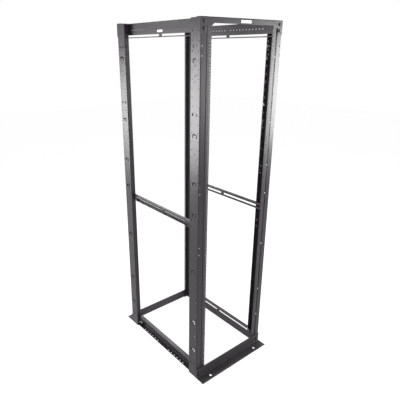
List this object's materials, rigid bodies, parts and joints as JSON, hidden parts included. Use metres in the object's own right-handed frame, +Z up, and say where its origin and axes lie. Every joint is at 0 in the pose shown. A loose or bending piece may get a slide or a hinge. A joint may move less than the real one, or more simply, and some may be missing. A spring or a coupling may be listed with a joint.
{
  "type": "four post open frame equipment rack",
  "caption": "Open steel equipment rack: upright posts with holed mounting rails, top headers, side braces and floor base angles, coated black.",
  "frame": {"origin": "on the floor at the middle of the footprint", "axes": "+Z up, -Y out of the front with its header and anchor flange, +X to the right seen from the front"},
  "size_m": [0.592, 0.896, 2.1362],
  "materials": {
    "post_coat": "satin black powder coat, fine texture",
    "rail_coat": "satin black powder coat, fine texture",
    "header_coat": "satin black powder coat, fine texture",
    "base_coat": "satin black powder coat, fine texture",
    "brace_coat": "satin black powder coat, fine texture",
    "bolts": "black oxide steel",
    "blank_label": "matt white, blank"
  },
  "bodies": {
    "root": {"front_left_post": "post_coat", "front_right_post": "post_coat", "rear_left_post": "post_coat", "rear_right_post": "post_coat", "front_left_rail": "rail_coat", "front_right_rail": "rail_coat", "rear_left_rail": "rail_coat", "rear_right_rail": "rail_coat", "front_top_header": "header_coat", "rear_top_header": "header_coat", "front_base_angle": "base_coat", "rear_base_angle": "base_coat", "left_top_brace": "brace_coat", "right_top_brace": "brace_coat", "left_middle_brace": "brace_coat", "right_middle_brace": "brace_coat", "left_bottom_brace": "brace_coat", "right_bottom_brace": "brace_coat"}
  },
  "joints": []
}
